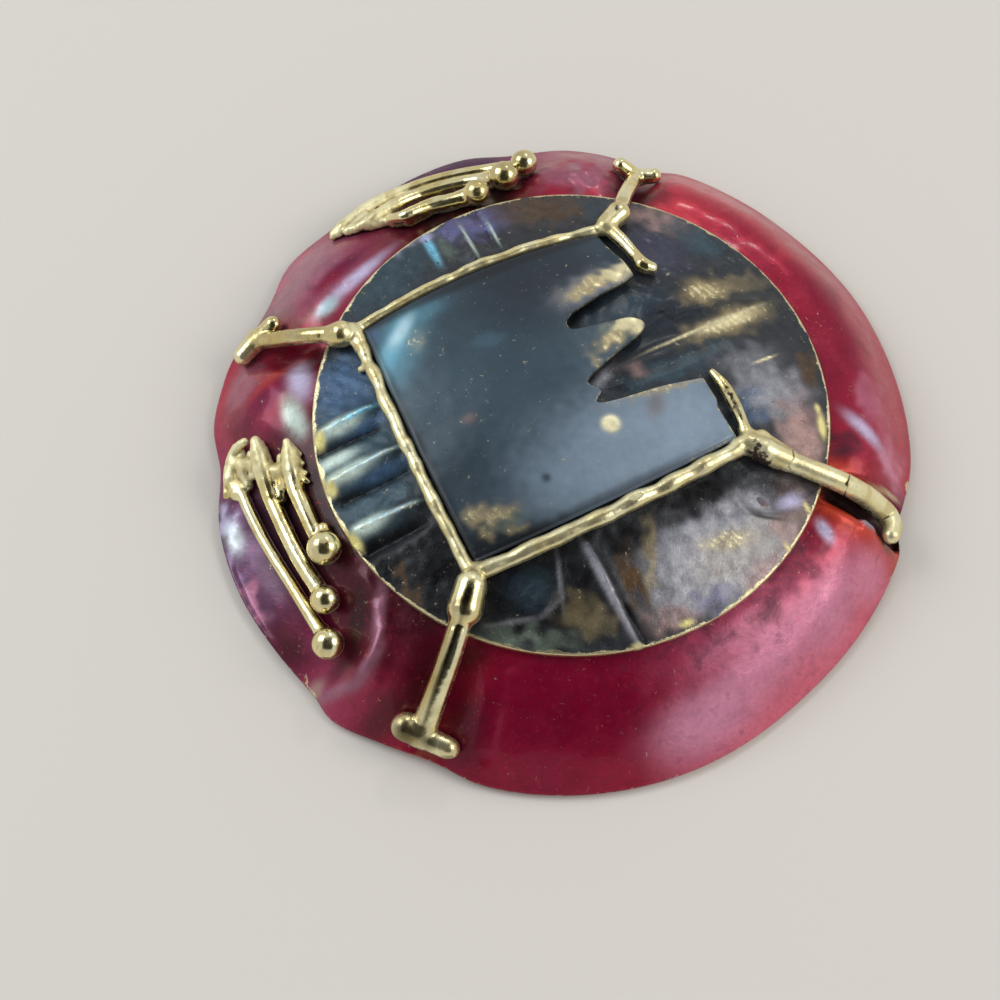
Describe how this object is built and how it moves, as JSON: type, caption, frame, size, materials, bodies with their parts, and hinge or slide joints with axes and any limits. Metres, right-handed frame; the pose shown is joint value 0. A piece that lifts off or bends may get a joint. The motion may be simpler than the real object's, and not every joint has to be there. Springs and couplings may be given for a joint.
{
  "type": "brutalist brooch",
  "caption": "Round domed brooch: red patinated dish, chased dark disc and torn dark plate, framed by brazed gold wires with straps and ball-ended bars; plain pin in its hollow back.",
  "frame": {"origin": "middle of the round outline, at the level of the rim's lowest point", "axes": "+Z out of the front face, +Y towards the end with the three long bars at its left, +X to the right as worn in the picture"},
  "size_m": [0.068, 0.069, 0.0139],
  "materials": {
    "red_copper": "glossy crimson patina on copper",
    "dark_brass": "darkened, polished through to brass in places",
    "dark_plate": "satin blue-grey patina",
    "gold_brass": "polished, with dark tarnish in the hollows",
    "pin_steel": "plain satin"
  },
  "bodies": {
    "root": {"dish": "red_copper", "disc": "dark_brass", "plate": "dark_plate", "frame": "gold_brass", "left_bars": "gold_brass", "top_bars": "gold_brass", "pin_back": "pin_steel"}
  },
  "joints": []
}
